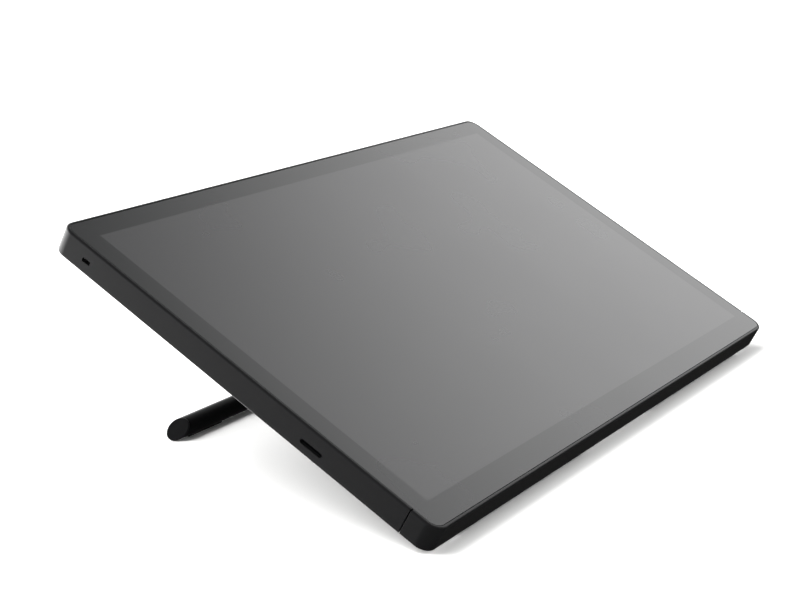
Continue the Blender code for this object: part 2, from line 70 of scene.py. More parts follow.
def tiltOf(node, facing):
    # the turn about X of a node's broadest flat face
    widest = max(frame["nodes"][node].data.polygons, key=lambda face: face.area)
    normal = widest.normal if widest.normal.dot(Vector(facing)) > 0 else -widest.normal
    return math.atan2(-normal.y, normal.z)


joints = {joint["name"]: joint for joint in frame["joints"]}
hingePoint = Vector(joints["stand_hinge"]["pos_m"])
slabAxes = Matrix.Rotation(tiltOf("front_glass", (0, 0, 1)), 4, "X")
standAxes = Matrix.Translation(hingePoint) @ Matrix.Rotation(tiltOf("stand_plate", (0, -1, 0)), 4, "X")
worldAxes = Matrix.Identity(4)


# Colour and node helpers

def toLinear(code):
    # an sRGB hex colour as linear RGBA
    parts = [int(code[i:i + 2], 16) / 255 for i in (1, 3, 5)]
    return tuple(c / 12.92 if c <= 0.04045 else ((c + 0.055) / 1.055) ** 2.4 for c in parts) + (1.0,)


def addNode(tree, kind, settings=None, inputs=None):
    node = tree.nodes.new(kind)
    for key, value in (settings or {}).items():
        setattr(node, key, value)
    for key, value in (inputs or {}).items():
        if isinstance(value, bpy.types.NodeSocket):
            tree.links.new(value, node.inputs[key])
        else:
            node.inputs[key].default_value = value
    return node


def newMaterial(name):
    material = bpy.data.materials.new(name)
    material.use_nodes = True
    tree = material.node_tree
    return material, tree, tree.nodes["Principled BSDF"]


def setShader(shader, values):
    for key, value in values.items():
        shader.inputs[key].default_value = value


def grainedFinish(name, values):
    # moulded or sprayed surfaces: two close colours in slow clouds, a fine grain that breaks the gloss
    material, tree, shader = newMaterial(name)
    place = addNode(tree, "ShaderNodeTexCoord").outputs["Object"]
    cloud = addNode(tree, "ShaderNodeTexNoise", None,
                    {"Vector": place, "Scale": 1 / values["cloudSize"], "Detail": 3.0})
    grain = addNode(tree, "ShaderNodeTexNoise", None,
                    {"Vector": place, "Scale": 1 / values["grainSize"], "Detail": 2.0, "Roughness": 0.6})
    tone = addNode(tree, "ShaderNodeMix", {"data_type": "RGBA"},
                   {"Factor": cloud.outputs["Fac"],
                    6: toLinear(values["dark"]), 7: toLinear(values["light"])})
    gloss = addNode(tree, "ShaderNodeMapRange", None,
                    {"Value": grain.outputs["Fac"], "From Min": 0.3, "From Max": 0.7,
                     "To Min": values["gloss"][0], "To Max": values["gloss"][1]})
    bump = addNode(tree, "ShaderNodeBump", None,
                   {"Height": grain.outputs["Fac"], "Strength": values["bump"],
                    "Distance": values["grainDepth"]})
    tree.links.new(tone.outputs[2], shader.inputs["Base Color"])
    tree.links.new(gloss.outputs["Result"], shader.inputs["Roughness"])
    tree.links.new(bump.outputs["Normal"], shader.inputs["Normal"])
    setShader(shader, values["shader"])
    return material


# Materials

mouldedAbs = grainedFinish("mouldedAbs", {
    # ABS from a spark-eroded mould: black, a soft sheen, no sparkle; the grain is drawn at 0.7 mm so it shows
    "dark": "#0f0f10", "light": "#131314", "cloudSize": 0.060, "grainSize": 0.0007, "grainDepth": 0.00005,
    "gloss": (0.34, 0.46), "bump": 0.45, "shader": {"IOR": 1.46, "Specular IOR Level": 0.30}})

powderCoat = grainedFinish("powderCoatedAluminium", {
    # powder coat on aluminium: flatter black than the casing, with a 0.9 mm orange peel
    "dark": "#09090a", "light": "#0e0e0f", "cloudSize": 0.040, "grainSize": 0.0009, "grainDepth": 0.00003,
    "gloss": (0.34, 0.44), "bump": 0.4, "shader": {"IOR": 1.5, "Specular IOR Level": 0.06}})

mattRubber = grainedFinish("mattNitrileRubber", {
    # moulded nitrile rubber: dead matt, slightly dusty
    "dark": "#0e0e0e", "light": "#181817", "cloudSize": 0.008, "grainSize": 0.0004, "grainDepth": 0.00003,
    "gloss": (0.80, 0.92), "bump": 0.5, "shader": {"IOR": 1.52}})

acetal = grainedFinish("blackAcetal", {
    # machined acetal: smooth, waxy sheen
    "dark": "#121213", "light": "#19191a", "cloudSize": 0.006, "grainSize": 0.0006, "grainDepth": 0.00001,
    "gloss": (0.28, 0.36), "bump": 0.2, "shader": {"IOR": 1.48}})

foamTape = grainedFinish("blackFoamTape", {
    # closed-cell foam: cells of half a millimetre
    "dark": "#0c0c0c", "light": "#171717", "cloudSize": 0.010, "grainSize": 0.0005, "grainDepth": 0.0001,
    "gloss": (0.90, 0.98), "bump": 0.8, "shader": {"IOR": 1.4}})

blackOxide = grainedFinish("blackOxideSteel", {
    # blackened steel screws: dark metal with a faint satin
    "dark": "#1b1b1d", "light": "#2a2a2c", "cloudSize": 0.002, "grainSize": 0.0003, "grainDepth": 0.00001,
    "gloss": (0.30, 0.42), "bump": 0.3, "shader": {"Metallic": 0.85}})

zincSteel = grainedFinish("zincPlatedSteel", {
    # zinc plate on pressed steel: bright grey, softly mottled
    "dark": "#8b8d90", "light": "#a9abad", "cloudSize": 0.004, "grainSize": 0.0008, "grainDepth": 0.00001,
    "gloss": (0.26, 0.40), "bump": 0.2, "shader": {"Metallic": 1.0}})

castMagnesium = grainedFinish("castMagnesium", {
    # thixo-moulded magnesium: grey, flow marks, sandy skin
    "dark": "#6f7173", "light": "#8a8c8e", "cloudSize": 0.025, "grainSize": 0.0008, "grainDepth": 0.00004,
    "gloss": (0.45, 0.62), "bump": 0.5, "shader": {"Metallic": 0.9}})

opticalFilm = grainedFinish("opticalFilm", {
    # white polyester film: satin, a faint micro-prism texture
    "dark": "#dcdedd", "light": "#ecedec", "cloudSize": 0.080, "grainSize": 0.0006, "grainDepth": 0.00001,
    "gloss": (0.45, 0.55), "bump": 0.2, "shader": {"IOR": 1.6}})


def brushedSheet():
    # rolled aluminium sheet: long fine scratches along X, satin between them
    material, tree, shader = newMaterial("brushedAluminium")
    place = addNode(tree, "ShaderNodeTexCoord").outputs["Object"]
    drawn = addNode(tree, "ShaderNodeMapping", None, {"Vector": place, "Scale": (20.0, 2500.0, 2500.0)})
    lines = addNode(tree, "ShaderNodeTexNoise", None,
                    {"Vector": drawn.outputs["Vector"], "Scale": 1.0, "Detail": 4.0})
    tone = addNode(tree, "ShaderNodeMix", {"data_type": "RGBA"},
                   {"Factor": lines.outputs["Fac"], 6: toLinear("#a7aaad"), 7: toLinear("#c6c8ca")})
    gloss = addNode(tree, "ShaderNodeMapRange", None,
                    {"Value": lines.outputs["Fac"], "To Min": 0.25, "To Max": 0.45})
    tree.links.new(tone.outputs[2], shader.inputs["Base Color"])
    tree.links.new(gloss.outputs["Result"], shader.inputs["Roughness"])
    setShader(shader, {"Metallic": 1.0})
    return material


def solderMask():
    # green solder mask over copper: raised tracks 1.6 mm apart, tinned pads about 4 mm apart
    material, tree, shader = newMaterial("solderMaskBoard")
    place = addNode(tree, "ShaderNodeTexCoord").outputs["Object"]
    tracks = addNode(tree, "ShaderNodeTexBrick", {"offset": 0.35},
                     {"Vector": place, "Color1": toLinear("#0d4a2a"), "Color2": toLinear("#116034"),
                      "Mortar": toLinear("#0a3a21"), "Scale": 160.0, "Mortar Size": 0.03})
    pads = addNode(tree, "ShaderNodeTexVoronoi", {"distance": "CHEBYCHEV"}, {"Vector": place, "Scale": 240.0})
    isPad = addNode(tree, "ShaderNodeMath", {"operation": "LESS_THAN"},
                    {0: pads.outputs["Distance"], 1: 0.16})
    tone = addNode(tree, "ShaderNodeMix", {"data_type": "RGBA"},
                   {"Factor": isPad.outputs["Value"], 6: tracks.outputs["Color"], 7: toLinear("#b9bcb8")})
    bump = addNode(tree, "ShaderNodeBump", None,
                   {"Height": tracks.outputs["Fac"], "Strength": 0.5, "Distance": 0.00004})
    tree.links.new(tone.outputs[2], shader.inputs["Base Color"])
    tree.links.new(bump.outputs["Normal"], shader.inputs["Normal"])
    setShader(shader, {"Roughness": 0.38, "IOR": 1.5})
    return material


def castAcrylic():
    # clear acrylic light guide with its printed dot pattern, 1.2 mm pitch
    material, tree, shader = newMaterial("castAcrylic")
    place = addNode(tree, "ShaderNodeTexCoord").outputs["Object"]
    dots = addNode(tree, "ShaderNodeTexVoronoi", None, {"Vector": place, "Scale": 830.0, "Randomness": 0.2})
    gloss = addNode(tree, "ShaderNodeMapRange", None,
                    {"Value": dots.outputs["Distance"], "From Min": 0.2, "From Max": 0.4,
                     "To Min": 0.6, "To Max": 0.08})
    tree.links.new(gloss.outputs["Result"], shader.inputs["Roughness"])
    setShader(shader, {"Base Color": toLinear("#dfe6e8"), "IOR": 1.49})
    return material


def flatCable():
    # flat flexible cable: tinned conductors 1 mm apart under a pale film
    material, tree, shader = newMaterial("flatFlexCable")
    place = addNode(tree, "ShaderNodeTexCoord").outputs["Object"]
    wires = addNode(tree, "ShaderNodeTexWave", {"bands_direction": "X", "wave_profile": "SIN"},
                    {"Vector": place, "Scale": 314.0})
    tone = addNode(tree, "ShaderNodeMix", {"data_type": "RGBA"},
                   {"Factor": wires.outputs["Fac"], 6: toLinear("#8f8c80"), 7: toLinear("#dad6c4")})
    tree.links.new(tone.outputs[2], shader.inputs["Base Color"])
    setShader(shader, {"Roughness": 0.42})
    return material


def etchedGlass(name, values):
    # acid-etched cover glass over a dark backing: no mirror image, a broad soft sheen with a faint sparkle
    material, tree, shader = newMaterial(name)
    place = addNode(tree, "ShaderNodeTexCoord").outputs["Object"]
    etch = addNode(tree, "ShaderNodeTexNoise", None,
                   {"Vector": place, "Scale": 1 / values["etchSize"], "Detail": 2.0})
    haze = addNode(tree, "ShaderNodeTexNoise", None,
                   {"Vector": place, "Scale": 1 / values["hazeSize"], "Detail": 2.0})
    gloss = addNode(tree, "ShaderNodeMapRange", None,
                    {"Value": haze.outputs["Fac"], "From Min": 0.3, "From Max": 0.7,
                     "To Min": values["gloss"][0], "To Max": values["gloss"][1]})
    tone = addNode(tree, "ShaderNodeMix", {"data_type": "RGBA"},
                   {"Factor": etch.outputs["Fac"], 6: toLinear(values["dark"]), 7: toLinear(values["light"])})
    bump = addNode(tree, "ShaderNodeBump", None,
                   {"Height": etch.outputs["Fac"], "Strength": values["bump"], "Distance": 0.000005})
    tree.links.new(tone.outputs[2], shader.inputs["Base Color"])
    tree.links.new(gloss.outputs["Result"], shader.inputs["Roughness"])
    tree.links.new(bump.outputs["Normal"], shader.inputs["Normal"])
    setShader(shader, values["shader"])
    return material


borderGlass = etchedGlass("etchedGlassOverBlackPrint", {
    "dark": "#0e0f10", "light": "#121314", "etchSize": 0.0008, "hazeSize": 0.090, "gloss": (0.27, 0.29),
    "bump": 0.02, "shader": {"IOR": 1.50}})
panelGlass = etchedGlass("etchedGlassOverPanel", {
    "dark": "#2a2a2b", "light": "#2e2e2f", "etchSize": 0.0008, "hazeSize": 0.090, "gloss": (0.27, 0.29),
    "bump": 0.02, "shader": {"IOR": 1.50}})

slotMaterials = {
    "etched_glass": panelGlass, "panel_glass": panelGlass, "black_abs": mouldedAbs,
    "painted_aluminium": powderCoat, "bare_aluminium": brushedSheet(), "cast_magnesium": castMagnesium,
    "steel": zincSteel, "black_screw": blackOxide, "rubber": mattRubber, "foam": foamTape,
    "circuit_board": solderMask(), "clear_acrylic": castAcrylic(), "white_film": opticalFilm,
    "acetal": acetal, "ribbon": flatCable()}

for entry in frame["record"]["subparts"]:
    mesh = frame["nodes"][entry["node"]].data
    mesh.materials.clear()
    mesh.materials.append(slotMaterials[entry["material_slot"]])
slotOf = {entry["node"]: entry["material_slot"] for entry in frame["record"]["subparts"]}
print("materials made:", len(bpy.data.materials))


# Mesh helpers, and how close two places have to be to count as one

close = {"merge": 2e-6, "sliver": 1e-6, "level": 1e-6, "surface": 1e-5}
roundFace = 8  # a face with more corners than this is a cylinder's end


def addBlock(bm, low, high):
    made = bmesh.ops.create_cube(bm, size=1.0)["verts"]
    bmesh.ops.scale(bm, vec=Vector(high) - Vector(low), verts=made)
    bmesh.ops.translate(bm, vec=(Vector(low) + Vector(high)) / 2, verts=made)
    return made


def roundEdges(bm, edges, radius, steps):
    return bmesh.ops.bevel(bm, geom=edges, offset=radius, offset_type="OFFSET", segments=steps, profile=0.5,
                           affect="EDGES", material=-1, clamp_overlap=True)


def edgesAlong(verts, axis):
    # the edges of a block that run along one axis, in a steady order
    edges = dict.fromkeys(edge for vert in verts for edge in vert.link_edges)
    return [e for e in edges if abs((e.verts[0].co - e.verts[1].co).normalized()[axis]) > 0.99]


def edgesAt(bm, axis, level):
    return [e for e in bm.edges if all(abs(v.co[axis] - level) < close["level"] for v in e.verts)]


def addRoundedBlock(bm, low, high, axis, radius, steps=8):
    # a block with the four edges along one axis rounded; at half the height it becomes a slot shape
    made = addBlock(bm, low, high)
    roundEdges(bm, edgesAlong(made, axis), radius, steps)


def addCylinder(bm, radius, low, high, centre, axis, sides=48):
    made = bmesh.ops.create_cone(bm, cap_ends=True, segments=sides, radius1=radius, radius2=radius,
                                 depth=high - low)["verts"]
    along = Vector(axis == letter for letter in "XYZ")
    turn = {"X": Matrix.Rotation(math.pi / 2, 3, "Y"), "Y": Matrix.Rotation(math.pi / 2, 3, "X"),
            "Z": Matrix.Identity(3)}[axis]
    bmesh.ops.rotate(bm, verts=made, cent=(0, 0, 0), matrix=turn)
    bmesh.ops.translate(bm, verts=made, vec=Vector(centre) + along * (low + high) / 2)
    return made


def pushFace(bm, face, move):
    # extrudes one face of a closed solid, and gives back the moved face
    moved = bmesh.ops.extrude_discrete_faces(bm, faces=[face])["faces"][0]
    bmesh.ops.translate(bm, verts=moved.verts[:], vec=move)
    return moved


def toObject(bm, name, *materials):
    bmesh.ops.recalc_face_normals(bm, faces=bm.faces)
    mesh = bpy.data.meshes.new(name)
    bm.to_mesh(mesh)
    bm.free()
    for material in materials:
        mesh.materials.append(material)
    piece = bpy.data.objects.new(name, mesh)
    bpy.context.scene.collection.objects.link(piece)
    return piece


def applyModifiers(piece):
    made = bpy.data.meshes.new_from_object(piece.evaluated_get(bpy.context.evaluated_depsgraph_get()))
    piece.modifiers.clear()
    piece.data = made


def carve(piece, bm, how="DIFFERENCE"):
    # cuts or joins a helper shape, which is then thrown away
    helper = toObject(bm, piece.name + "Helper")
    cut = piece.modifiers.new("carve", "BOOLEAN")
    cut.operation = how
    cut.solver = "EXACT"
    cut.object = helper
    applyModifiers(piece)
    bpy.data.objects.remove(helper)


def finishPiece(piece, axes, node, sharp=32, body="display"):
    # puts a finished mesh in place, shades it, and lets it stand for its CAD node
    bm = bmesh.new()
    bm.from_mesh(piece.data)
    bmesh.ops.remove_doubles(bm, verts=bm.verts, dist=close["merge"])
    bmesh.ops.dissolve_degenerate(bm, edges=bm.edges, dist=close["sliver"])
    # a cut can leave an edge that no face uses
    bmesh.ops.delete(bm, geom=[edge for edge in bm.edges if not edge.link_faces], context="EDGES")
    bm.transform(axes)
    bm.to_mesh(piece.data)
    bm.free()
    piece.data.shade_smooth()
    piece.data.set_sharp_from_angle(angle=math.radians(sharp))
    even = piece.modifiers.new("evenShading", "WEIGHTED_NORMAL")
    even.keep_sharp = True
    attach(piece, body)
    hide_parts(node)
    return piece


def refinedCopy(node, name, edge, body="display", steps=2):
    # a merged copy of a CAD node, with its flats rejoined and its edges eased
    bm = bmesh.new()
    bm.from_mesh(frame["nodes"][node].data)
    bmesh.ops.remove_doubles(bm, verts=bm.verts, dist=close["merge"])
    bmesh.ops.dissolve_limit(bm, angle_limit=math.radians(1.0), verts=bm.verts, edges=bm.edges)
    if edge:
        folds = [e for e in bm.edges if len(e.link_faces) == 2 and e.calc_face_angle() > math.radians(50)]
        roundEdges(bm, folds, edge, steps)
    piece = toObject(bm, name, slotMaterials[slotOf[node]])
    return finishPiece(piece, worldAxes, node, body=body)


# Casing

casing = {
    "cornerRadius": 0.0105, "cornerSteps": 16,
    "fillet": 0.0015, "filletSteps": 6,  # top and bottom edges of the outer wall
    "wall": 0.00225, "floor": 0.0020,
    "rimEdge": 0.00020,                  # the wall's edge towards the glass
    "seamEdge": 0.00060, "seamRoom": 0.00030,
}
overrun = 0.001  # how far a cutter reaches past the wall that it cuts
slabLow, slabHigh = boxIn(slabAxes, "rear_shell", "front_chin")


def makeTray(seam, keep):
    # the whole casing as one tray, then only the part on one side of the seam
    bm = bmesh.new()
    made = addBlock(bm, slabLow, slabHigh)
    roundEdges(bm, edgesAlong(made, 2), casing["cornerRadius"], casing["cornerSteps"])
    ends = edgesAt(bm, 2, slabLow.z) + edgesAt(bm, 2, slabHigh.z)
    roundEdges(bm, ends, casing["fillet"], casing["filletSteps"])
    top = max(bm.faces, key=lambda f: f.calc_center_median().z)
    bmesh.ops.inset_region(bm, faces=[top], thickness=casing["wall"] - casing["fillet"], use_even_offset=True)
    rim = list(top.edges)
    pushFace(bm, top, (0, 0, casing["floor"] - (slabHigh.z - slabLow.z)))
    roundEdges(bm, [e for e in rim if e.is_valid], casing["rimEdge"], 2)
    bmesh.ops.bisect_plane(bm, geom=bm.verts[:] + bm.edges[:] + bm.faces[:], plane_co=(0, seam, 0),
                           plane_no=(0, -keep, 0), clear_outer=True)
    cutEdges = [e for e in bm.edges if e.is_boundary]
    bmesh.ops.edgeloop_fill(bm, edges=cutEdges)
    outer = [e for e in cutEdges if e.is_valid and not insideTray(e)]
    roundEdges(bm, outer, casing["seamEdge"], 2)
    return bm


def insideTray(edge):
    # the seam's edges on the cavity side stay square
    middle = (edge.verts[0].co + edge.verts[1].co) / 2
    inset = casing["wall"] - close["surface"]
    overFloor = middle.z > slabLow.z + casing["floor"] - close["surface"]
    return abs(middle.x) < slabHigh.x - inset and overFloor


nearlyHalf = 0.4999


def slotCutter(bm, axis, low, high):
    # a round-ended hole; its radius stays just under half the height, so that no edge vanishes
    height = min(high[i] - low[i] for i in range(3) if i != axis)
    addRoundedBlock(bm, low, high, axis, height * nearlyHalf)


screwSeat = {"headRadius": 0.0029, "shankRadius": 0.0017, "depth": 0.0012, "through": 0.003}


def cutScrewSeats(shell, numbers):
    # a counterbore and its through hole for each casing screw
    seats = bmesh.new()
    for i in numbers:
        at = centreOf(slabAxes, f"case_screw_{i}")
        made = addCylinder(seats, screwSeat["headRadius"], -overrun, screwSeat["depth"],
                           (at.x, at.y, slabLow.z), "Z", 32)
        top = max((f for v in made for f in v.link_faces), key=lambda f: f.calc_center_median().z)
        bmesh.ops.inset_region(seats, faces=[top], use_even_offset=True,
                               thickness=screwSeat["headRadius"] - screwSeat["shankRadius"])
        pushFace(seats, top, (0, 0, screwSeat["through"]))
    carve(shell, seats)


def centreOf(axes, node):
    low, high = boxIn(axes, node)
    return (low + high) / 2


recess = {"radius": 0.003, "clearance": 0.0015, "endRoom": 0.002, "depth": 0.0065, "skin": 0.0012,
          "behindHinge": 0.020}


def foldedStand():
    # half-widths of the folded stand and where it lies in the slab's axes
    plateHigh = boxIn(standAxes, "stand_plate")[1]
    barLow, barHigh = boxIn(standAxes, "foot_bar")
    hinge = slabAxes.inverted() @ hingePoint
    return {"halfPlate": plateHigh.x, "halfBar": barHigh.x, "barY": (hinge.y + barLow.y, hinge.y + barHigh.y),
            "hingeY": hinge.y}


def addRecessShape(bm, grow, low, high):
    # the T-shaped recess: eight corners, extruded and rounded
    folded = foldedStand()
    bar = folded["halfBar"] + recess["clearance"] + recess["endRoom"] + grow
    plate = folded["halfPlate"] + recess["clearance"] + grow
    near = folded["barY"][0] - 2 * recess["clearance"] - grow
    shoulder = folded["barY"][1] + recess["clearance"] + grow
    far = folded["hingeY"] + recess["behindHinge"] + grow
    corners = [(-bar, near), (bar, near), (bar, shoulder), (plate, shoulder), (plate, far), (-plate, far),
               (-plate, shoulder), (-bar, shoulder)]
    base = bm.faces.new([bm.verts.new((x, y, low)) for x, y in corners])
    raised = bmesh.ops.extrude_face_region(bm, geom=[base])["geom"]
    verts = [g for g in raised if isinstance(g, bmesh.types.BMVert)]
    bmesh.ops.translate(bm, verts=verts, vec=(0, 0, high - low))
    roundEdges(bm, edgesAlong(verts, 2), recess["radius"], 6)


def cutRecess(shell):
    # a pan under the recess first, so that its bottom stays closed, and then the recess
    pan = bmesh.new()
    addRecessShape(pan, recess["skin"], slabLow.z + overrun, slabLow.z + recess["depth"] + recess["skin"])
    carve(shell, pan, "UNION")
    hollow = bmesh.new()
    addRecessShape(hollow, 0.0, slabLow.z - overrun, slabLow.z + recess["depth"])
    carve(shell, hollow)


mouth = {"lock": (0.0035, 0.0015), "lockRadius": 0.0003,  # half lengths and half heights
         "accessory": (0.00935, 0.00175), "usb": (0.0049, 0.0019), "button": (0.0071, 0.0020)}


def cutSideOpenings(shell):
    inner = slabHigh.x - casing["wall"] - overrun
    outer = slabHigh.x + overrun
    openings = bmesh.new()
    lock = centreOf(slabAxes, "lock_plate")
    halfY, halfZ = mouth["lock"]
    addRoundedBlock(openings, (-outer, lock.y - halfY, lock.z - halfZ),
                    (-inner, lock.y + halfY, lock.z + halfZ), 0, mouth["lockRadius"], 2)
    halfY, halfZ = mouth["accessory"]
    for side, node in ((-1, "accessory_socket_left"), (1, "accessory_socket_right")):
        at = centreOf(slabAxes, node)
        xs = sorted((side * inner, side * outer))
        slotCutter(openings, 0, (xs[0], at.y - halfY, at.z - halfZ), (xs[1], at.y + halfY, at.z + halfZ))
    inner, outer = slabHigh.y - casing["wall"] - overrun, slabHigh.y + overrun
    for node, kind in (("usb_socket_video", "usb"), ("usb_socket_power", "usb"), ("power_button", "button")):
        at = centreOf(slabAxes, node)
        halfX, halfZ = mouth[kind]
        slotCutter(openings, 1, (at.x - halfX, inner, at.z - halfZ), (at.x + halfX, outer, at.z + halfZ))
    carve(shell, openings)


vents = {"count": 24, "firstX": 0.100, "pitch": 0.0060, "width": 0.0020, "length": 0.0220, "fromBack": 0.0314}


def cutVents(shell):
    grille = bmesh.new()
    middle = slabHigh.y - vents["fromBack"]
    bottom, top = slabLow.z - overrun, slabLow.z + casing["floor"] + overrun
    for side in (-1, 1):
        for k in range(vents["count"]):
            x = side * (vents["firstX"] + k * vents["pitch"])
            slotCutter(grille, 2, (x - vents["width"] / 2, middle - vents["length"] / 2, bottom),
                       (x + vents["width"] / 2, middle + vents["length"] / 2, top))
    carve(shell, grille)


def makeCasing():
    seamBack = boxIn(slabAxes, "rear_shell")[0].y + casing["seamRoom"]
    seamFront = boxIn(slabAxes, "front_chin")[1].y - casing["seamRoom"]
    shell = toObject(makeTray(seamBack, 1), "rearShell", mouldedAbs)
    cutRecess(shell)
    cutSideOpenings(shell)
    cutVents(shell)
    cutScrewSeats(shell, range(1, 7))
    finishPiece(shell, slabAxes, "rear_shell")
    chin = toObject(makeTray(seamFront, -1), "frontChin", mouldedAbs)
    cutScrewSeats(chin, (7, 8))
    finishPiece(chin, slabAxes, "front_chin")


makeCasing()
print("casing made")


# Cover glass

glass = {"cornerRadius": 0.0079, "edge": 0.00030, "edgeSteps": 3}
active = {"width": 0.52704, "ratio": 9 / 16, "frontBorder": 0.0221}


def makeGlass():
    # one sheet, whose top is divided so that the active area takes its own material
    low, high = boxIn(slabAxes, "front_glass")
    bm = bmesh.new()
    made = addBlock(bm, low, high)
    roundEdges(bm, edgesAlong(made, 2), glass["cornerRadius"], casing["cornerSteps"])
    roundEdges(bm, edgesAt(bm, 2, high.z), glass["edge"], glass["edgeSteps"])
    halfX = active["width"] / 2
    nearY = slabLow.y + active["frontBorder"]
    farY = nearY + active["width"] * active["ratio"]
    for place, normal in (((halfX, 0, 0), (1, 0, 0)), ((-halfX, 0, 0), (1, 0, 0)),
                          ((0, nearY, 0), (0, 1, 0)), ((0, farY, 0), (0, 1, 0))):
        bmesh.ops.bisect_plane(bm, geom=bm.verts[:] + bm.edges[:] + bm.faces[:],
                               plane_co=place, plane_no=normal)
    for face in bm.faces:
        at = face.calc_center_median()
        lit = abs(at.x) < halfX and nearY < at.y < farY and at.z > high.z - close["surface"]
        face.material_index = 1 if lit else 0
    finishPiece(toObject(bm, "coverGlass", borderGlass, panelGlass), slabAxes, "front_glass")


makeGlass()
print("glass made")


# Stand

stand = {
    "plateEdge": 0.0007, "plateT": 0.005, "plateTop": -0.0016,  # the plate ends below the hinge's axis
    "notchHalf": 0.0079, "notchDepth": 0.0038,                  # room for a hinge leaf
    "knuckleAt": 0.0129, "knuckleHalf": 0.005, "knuckleRadius": 0.0030, "knuckleEdge": 0.0003,
    "pinHole": 0.00175, "pinHoleHalf": 0.025,
    "barRadius": 0.0074, "boreRadius": 0.0054, "barEdge": 0.0004, "capEdge": 0.0006,
    "slant": 0.81, "slantRoom": 0.010,                          # inwards per unit of height
    "padSeat": 0.0008, "padHalf": 0.006, "saddleHalf": 0.080, "gap": 0.0003,
}


def makeStandPlate():
    low, high = boxIn(standAxes, "stand_plate")
    bar = centreOf(standAxes, "foot_bar")
    reach = stand["plateT"]
    bm = bmesh.new()
    addBlock(bm, (low.x, low.y, low.z), (high.x, stand["plateTop"], low.z + stand["plateT"]))
    roundEdges(bm, bm.edges[:], stand["plateEdge"], 3)
    plate = toObject(bm, "standPlate", powderCoat)
    notches, knuckles, bores = bmesh.new(), bmesh.new(), bmesh.new()
    for pin in ("hinge_pin_left", "hinge_pin_right"):
        middle = centreOf(worldAxes, pin).x
        addBlock(notches, (middle - stand["notchHalf"], -stand["notchDepth"], -reach),
                 (middle + stand["notchHalf"], reach, reach))
        for step in (-stand["knuckleAt"], stand["knuckleAt"]):
            made = addCylinder(knuckles, stand["knuckleRadius"], -stand["knuckleHalf"], stand["knuckleHalf"],
                               (middle + step, 0, 0), "X", 40)
            ends = dict.fromkeys(e for v in made for e in v.link_edges
                                 if abs(e.verts[0].co.x - e.verts[1].co.x) < close["level"])
            roundEdges(knuckles, list(ends), stand["knuckleEdge"], 2)
        addCylinder(bores, stand["pinHole"], -stand["pinHoleHalf"], stand["pinHoleHalf"],
                    (middle, 0, 0), "X", 32)
    carve(plate, notches)
    carve(plate, knuckles, "UNION")
    carve(plate, bores)
    saddle = bmesh.new()
    addCylinder(saddle, stand["barRadius"] + stand["gap"], -stand["saddleHalf"], stand["saddleHalf"],
                (0, bar.y, bar.z), "X", 96)
    carve(plate, saddle)
    finishPiece(plate, standAxes, "stand_plate", body="stand")


def slantEnds(bm, centre, reach):
    # shears whatever lies beyond reach, so that the ends lean inwards with the height above the slab's plane
    square = slabAxes.to_3x3() @ Vector((0, 0, 1))
    for vert in bm.verts:
        if abs(vert.co.x) > reach:
            height = (vert.co - centre).yz.dot(square.yz)
            vert.co.x -= math.copysign(stand["slant"], vert.co.x) * height


def makeFootBar():
    low, high = boxIn(worldAxes, "foot_bar")
    centre = Vector((0, (low.y + high.y) / 2, (low.z + high.z) / 2))
    radius = stand["barRadius"]
    half = high.x - stand["slant"] * radius
    bm = bmesh.new()
    addCylinder(bm, radius, -half, half, centre, "X", 96)
    ends = [f for f in bm.faces if len(f.verts) > roundFace]
    bmesh.ops.inset_region(bm, faces=ends, thickness=radius - stand["boreRadius"], use_even_offset=True)
    bmesh.ops.delete(bm, geom=ends, context="FACES_ONLY")
    bmesh.ops.bridge_loops(bm, edges=[e for e in bm.edges if e.is_boundary])
    rings = [e for e in bm.edges if all(abs(abs(v.co.x) - half) < close["level"] for v in e.verts)
             and all(abs((v.co - centre).yz.length - radius) < close["surface"] for v in e.verts)]
    roundEdges(bm, rings, stand["barEdge"], 2)
    slantEnds(bm, centre, half - stand["slantRoom"])
    bar = toObject(bm, "footBar", powderCoat)
    seats = bmesh.new()
    for node in ("foot_pad_left", "foot_pad_right"):
        padLow, padHigh = boxIn(worldAxes, node)
        seatTop = centre.z - radius + stand["padSeat"]
        addBlock(seats, (padLow.x - stand["gap"], centre.y - stand["padHalf"], low.z - overrun),
                 (padHigh.x + stand["gap"], centre.y + stand["padHalf"], seatTop))
    carve(bar, seats)
    finishPiece(bar, worldAxes, "foot_bar", body="stand")
    makeEndCap("bar_end_cap_left", "barEndCapLeft", -1, centre, half)
    makeEndCap("bar_end_cap_right", "barEndCapRight", 1, centre, half)


def makeEndCap(node, name, side, centre, half):
    # a disc that closes the bar, with a plug into its bore
    low, high = boxIn(worldAxes, node)
    tip = max(abs(low.x), abs(high.x)) - stand["slant"] * stand["barRadius"]
    plug = min(abs(low.x), abs(high.x))
    face = half + 1.5 * stand["gap"]
    bm = bmesh.new()
    span = sorted((side * face, side * tip))
    addCylinder(bm, stand["barRadius"], span[0], span[1], centre, "X", 96)
    inner = min((f for f in bm.faces if len(f.verts) > roundFace),
                key=lambda f: abs(f.calc_center_median().x))
    bmesh.ops.inset_region(bm, faces=[inner], use_even_offset=True,
                           thickness=stand["barRadius"] - stand["boreRadius"] + stand["gap"])
    pushFace(bm, inner, (-side * (face - plug), 0, 0))
    slantEnds(bm, centre, plug + overrun)
    outer = max((f for f in bm.faces if len(f.verts) > roundFace),
                key=lambda f: side * f.calc_center_median().x)
    roundEdges(bm, list(outer.edges), stand["capEdge"], 4)
    finishPiece(toObject(bm, name, mouldedAbs), worldAxes, node, body="stand")


makeStandPlate()
makeFootBar()
print("stand made")


# Small parts

screwHead = {"socketRadius": 0.0011, "socketDepth": 0.0006, "edge": 0.0003, "shankInset": 0.52,
             "caseHeadT": 0.0009, "hingeHeadT": 0.0010}


